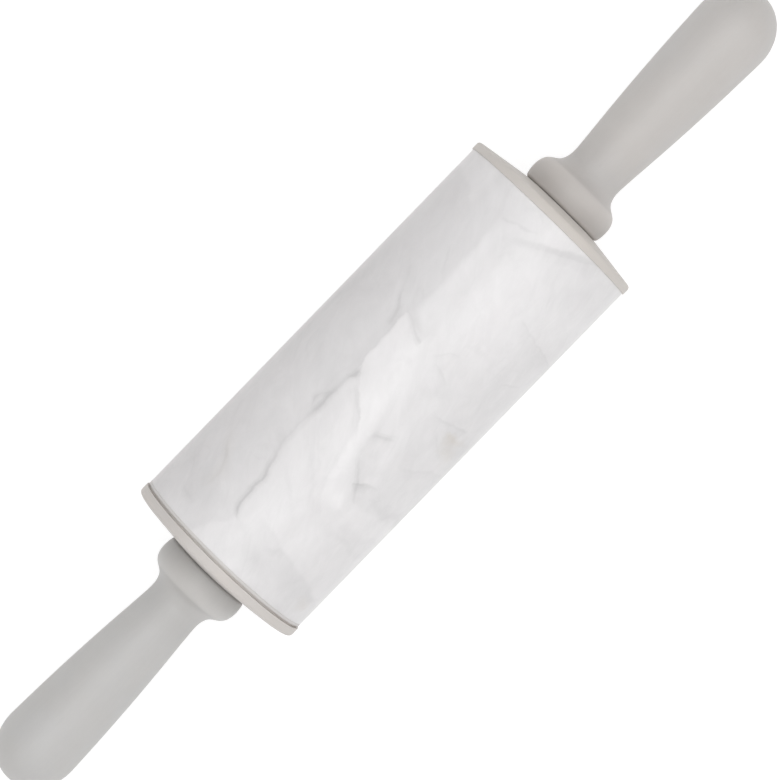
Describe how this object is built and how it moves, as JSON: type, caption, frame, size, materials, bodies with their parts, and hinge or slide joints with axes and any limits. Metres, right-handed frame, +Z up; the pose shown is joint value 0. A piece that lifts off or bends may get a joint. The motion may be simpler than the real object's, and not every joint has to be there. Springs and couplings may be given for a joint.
{
  "type": "marble rolling pin",
  "caption": "Stone rolling pin: a smooth marble barrel with plastic end caps turns freely on a steel axle held by two turned, flared grey handles.",
  "frame": {"origin": "on the pin's axis, midway between the two handle tips, which is the middle of the bounding box", "axes": "+X along the pin's axis towards the right handle, +Z up from the surface the roller lies on"},
  "size_m": [0.4198, 0.081, 0.081],
  "materials": {
    "marble": "polished white marble with soft grey veins",
    "cap_plastic": "moulded warm grey plastic, satin",
    "gasket_silicone": "matt pale silicone",
    "o_ring_rubber": "black nitrile",
    "bush_nylon": "natural nylon",
    "axle_steel": "ground stainless steel",
    "washer_steel": "stamped stainless steel",
    "insert_brass": "turned brass",
    "handle_paint": "turned wood under satin grey lacquer"
  },
  "bodies": {
    "axle_and_handles": {"axle_rod": "axle_steel", "left_handle": "handle_paint", "right_handle": "handle_paint", "left_threaded_insert": "insert_brass", "right_threaded_insert": "insert_brass", "left_thrust_washer": "washer_steel", "right_thrust_washer": "washer_steel"},
    "roller": {"marble_barrel": "marble", "left_end_cap": "cap_plastic", "right_end_cap": "cap_plastic", "left_seat_gasket": "gasket_silicone", "right_seat_gasket": "gasket_silicone", "left_spigot_o_ring": "o_ring_rubber", "right_spigot_o_ring": "o_ring_rubber", "left_flanged_bush": "bush_nylon", "right_flanged_bush": "bush_nylon"}
  },
  "joints": [
    {"name": "barrel_spin", "type": "hinge", "parent": "axle_and_handles", "child": "roller", "pos_m": [0, 0, 0], "axis": [1, 0, 0], "continuous": true}
  ]
}
